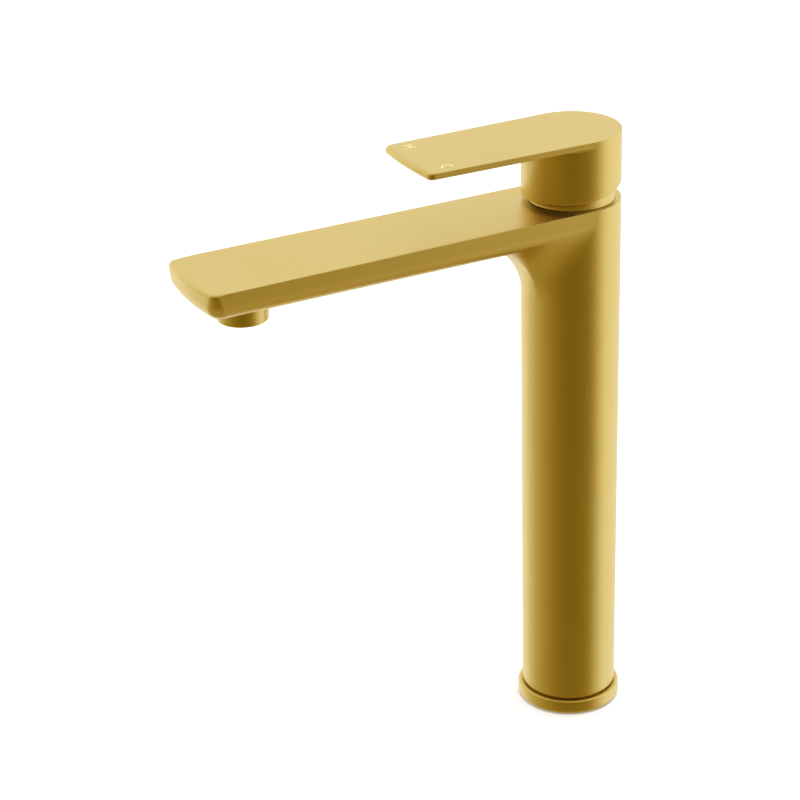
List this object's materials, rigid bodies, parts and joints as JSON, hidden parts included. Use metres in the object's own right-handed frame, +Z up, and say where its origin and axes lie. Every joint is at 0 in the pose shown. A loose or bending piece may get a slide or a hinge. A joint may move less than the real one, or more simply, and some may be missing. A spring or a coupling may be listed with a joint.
{
  "type": "bathroom mixer faucet",
  "caption": "Tall single-lever basin mixer: round column, long flat spout with an aerator below its tip, and a flat lever handle on top.",
  "frame": {"origin": "centre of the underside of the foot, on the surface that the faucet stands on", "axes": "+Z up along the column; the spout and the lever point along -Y; hot is on -X and cold on +X"},
  "size_m": [0.0504, 0.221, 0.3012],
  "materials": {
    "gold": "satin brushed gold plating",
    "raw_brass": "machined, unplated",
    "copper": "drawn copper tube",
    "steel": "stainless",
    "ceramic": "lapped ceramic",
    "white_plastic": "moulded",
    "grey_plastic": "moulded",
    "rubber": "moulded"
  },
  "bodies": {
    "column": {"body": "gold", "base_ring": "gold", "base_gasket": "rubber", "inlet_block": "raw_brass", "hot_tube": "copper", "hot_tube_lower_seal": "rubber", "hot_tube_upper_seal": "rubber", "cold_tube": "copper", "cold_tube_lower_seal": "rubber", "cold_tube_upper_seal": "rubber", "cartridge_base": "white_plastic", "hot_port_seal": "rubber", "cold_port_seal": "rubber", "fixed_disc": "ceramic", "cartridge_shell": "white_plastic", "cartridge_seal": "rubber", "cartridge_nut": "raw_brass", "dome_cover": "gold", "aerator_housing": "gold", "aerator_grid": "white_plastic", "aerator_insert": "grey_plastic", "aerator_screen": "steel", "aerator_washer": "rubber"},
    "guide": {"lever_guide": "grey_plastic", "spindle_pin": "steel"},
    "lever": {"handle": "gold", "handle_screw": "steel", "screw_plug": "gold", "spindle": "steel"},
    "slider": {"disc_carrier": "grey_plastic", "moving_disc": "ceramic"}
  },
  "joints": [
    {"name": "handle_swivel", "type": "hinge", "parent": "column", "child": "guide", "pos_m": [0, 0, 0.259], "axis": [0, 0, 1], "range_deg": [-45, 45]},
    {"name": "handle_lift", "type": "hinge", "parent": "guide", "child": "lever", "pos_m": [0, 0, 0.259], "axis": [-1, 0, 0], "range_deg": [0, 20]},
    {"name": "disc_slide", "type": "slide", "parent": "guide", "child": "slider", "axis": [0, -1, 0], "range_m": [0, 0.0038]}
  ],
  "couplings": [
    {"joint": "disc_slide", "follows": "handle_lift", "m_per_rad": 0.0105}
  ]
}
